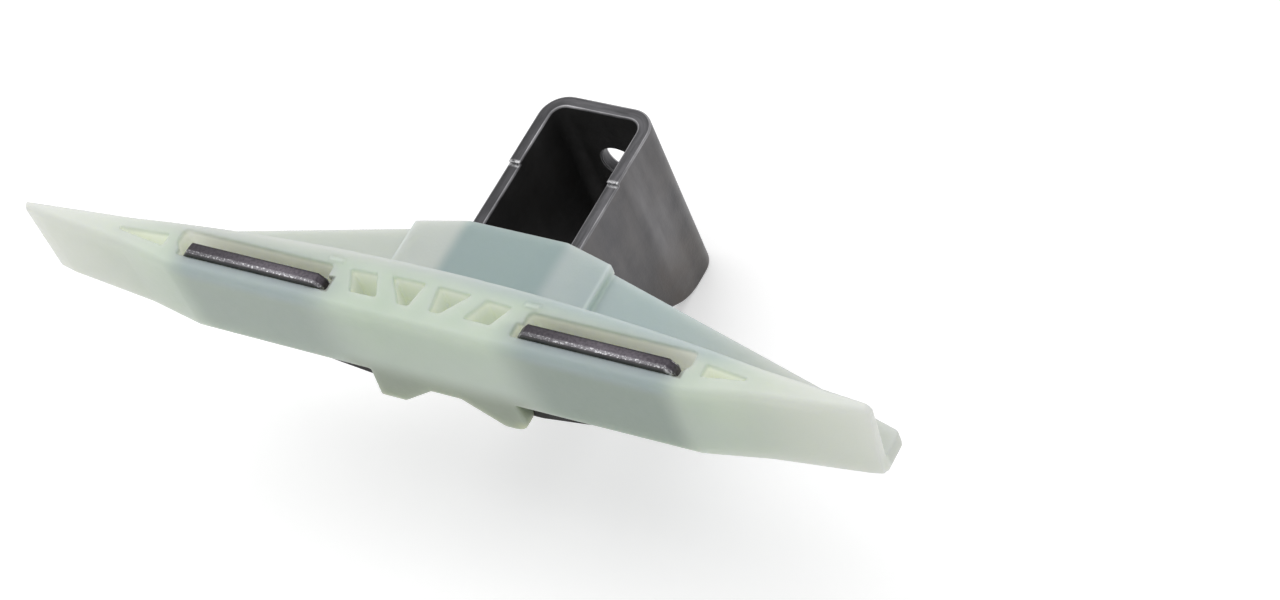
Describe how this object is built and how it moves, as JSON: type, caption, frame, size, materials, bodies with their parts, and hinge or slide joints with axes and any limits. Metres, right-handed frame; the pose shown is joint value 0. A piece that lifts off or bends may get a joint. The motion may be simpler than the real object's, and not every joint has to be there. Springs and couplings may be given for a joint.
{
  "type": "timing chain guide",
  "caption": "Moulded chain guide shoe with an arched back and a side plate, pushed onto the ears of a folded steel loop bracket with a bolt hole.",
  "frame": {"origin": "centre of the bolt hole on the mounting face, the outer face of the bracket's web", "axes": "+X along the chain run, +Y from the chain face to the mounting face and out of it, +Z across the chain to the slotted side of the shoe"},
  "size_m": [0.1339, 0.0493, 0.0421],
  "materials": {
    "natural_nylon": "satin",
    "raw_steel": "dull"
  },
  "bodies": {
    "root": {"chain_shoe": "natural_nylon", "steel_bracket": "raw_steel"}
  },
  "joints": []
}
